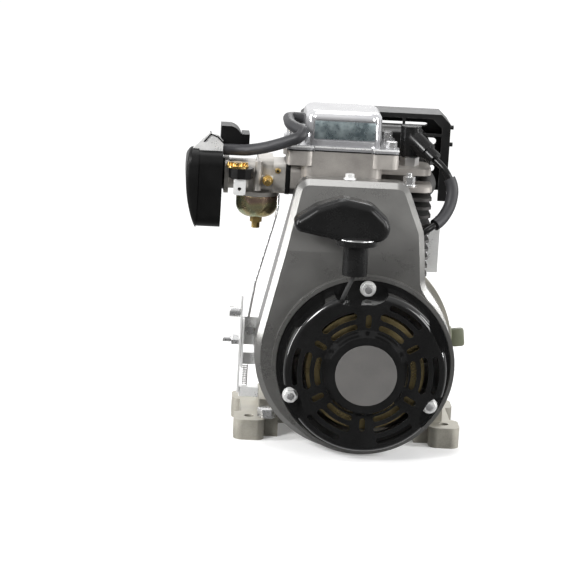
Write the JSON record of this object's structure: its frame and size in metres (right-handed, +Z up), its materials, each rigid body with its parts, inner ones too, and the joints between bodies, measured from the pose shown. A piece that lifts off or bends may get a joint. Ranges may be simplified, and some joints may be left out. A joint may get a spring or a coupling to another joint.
{
  "type": "small single-cylinder engine",
  "caption": "Upright air-cooled single-cylinder petrol engine with pull-cord recoil starter, carburettor, air cleaner, muffler in a slotted guard and a keyed output shaft.",
  "frame": {"origin": "centre of the four base bolt holes, on the underside of the feet", "axes": "+X towards the exhaust and oil filler side, -X the carburettor side, +Y along the output shaft away from the recoil starter, +Z up along the cylinder"},
  "size_m": [0.266, 0.2396, 0.304],
  "materials": {
    "shroud_paint": "satin grey",
    "gloss_black": "gloss black",
    "black_plastic": "satin black",
    "black_paint": "satin black",
    "disc_grey": "satin grey",
    "bronze_zinc": "yellow passivated",
    "cast_aluminium": "as cast",
    "dark_casting": "painted, fins",
    "chrome": "polished",
    "zinc": "bright zinc",
    "steel": "machined",
    "brass": "satin",
    "rubber": "matt",
    "olive_plastic": "matt",
    "rope": "braided"
  },
  "bodies": {
    "engine": {"air_cleaner_base": "black_plastic", "air_cleaner_cover": "black_plastic", "air_cleaner_plate": "zinc", "air_deflector": "zinc", "arm_pivot": "zinc", "bowl_drain": "brass", "breather_hose": "rubber", "cable_clamp": "zinc", "carburettor_body": "cast_aluminium", "carburettor_bowl": "bronze_zinc", "centre_disc": "disc_grey", "choke_bracket": "zinc", "choke_cap": "bronze_zinc", "choke_ring": "black_plastic", "control_bracket": "zinc", "control_screw": "zinc", "cover_bolts": "zinc", "crankcase": "cast_aluminium", "cylinder": "dark_casting", "cylinder_head": "cast_aluminium", "drain_plug": "zinc", "exhaust_elbow": "steel", "fan_shroud": "shroud_paint", "fuel_inlet": "brass", "governor_rod": "zinc", "governor_spring": "steel", "head_nut": "zinc", "ignition_coil": "black_plastic", "ignition_lead": "rubber", "intake_insulator": "black_plastic", "intake_snorkel": "black_plastic", "lead_sleeve": "rubber", "muffler": "black_paint", "muffler_guard": "black_paint", "oil_filler_plug": "olive_plastic", "plug_cap": "rubber", "pull_handle": "black_plastic", "pull_rope": "rope", "recoil_bolts": "zinc", "recoil_cover": "gloss_black", "shroud_bolt": "zinc", "side_cover": "cast_aluminium", "spark_plug": "steel", "spring_link": "zinc", "throttle_arm": "zinc", "valve_cover": "chrome", "valve_cover_bolts": "zinc"},
    "rotor": {"output_shaft": "steel", "flywheel": "cast_aluminium", "starter_cup": "bronze_zinc"}
  },
  "joints": [
    {"name": "rotor_spin", "type": "hinge", "parent": "engine", "child": "rotor", "pos_m": [0.008, 0, 0.084], "axis": [0, 1, 0], "continuous": true}
  ]
}
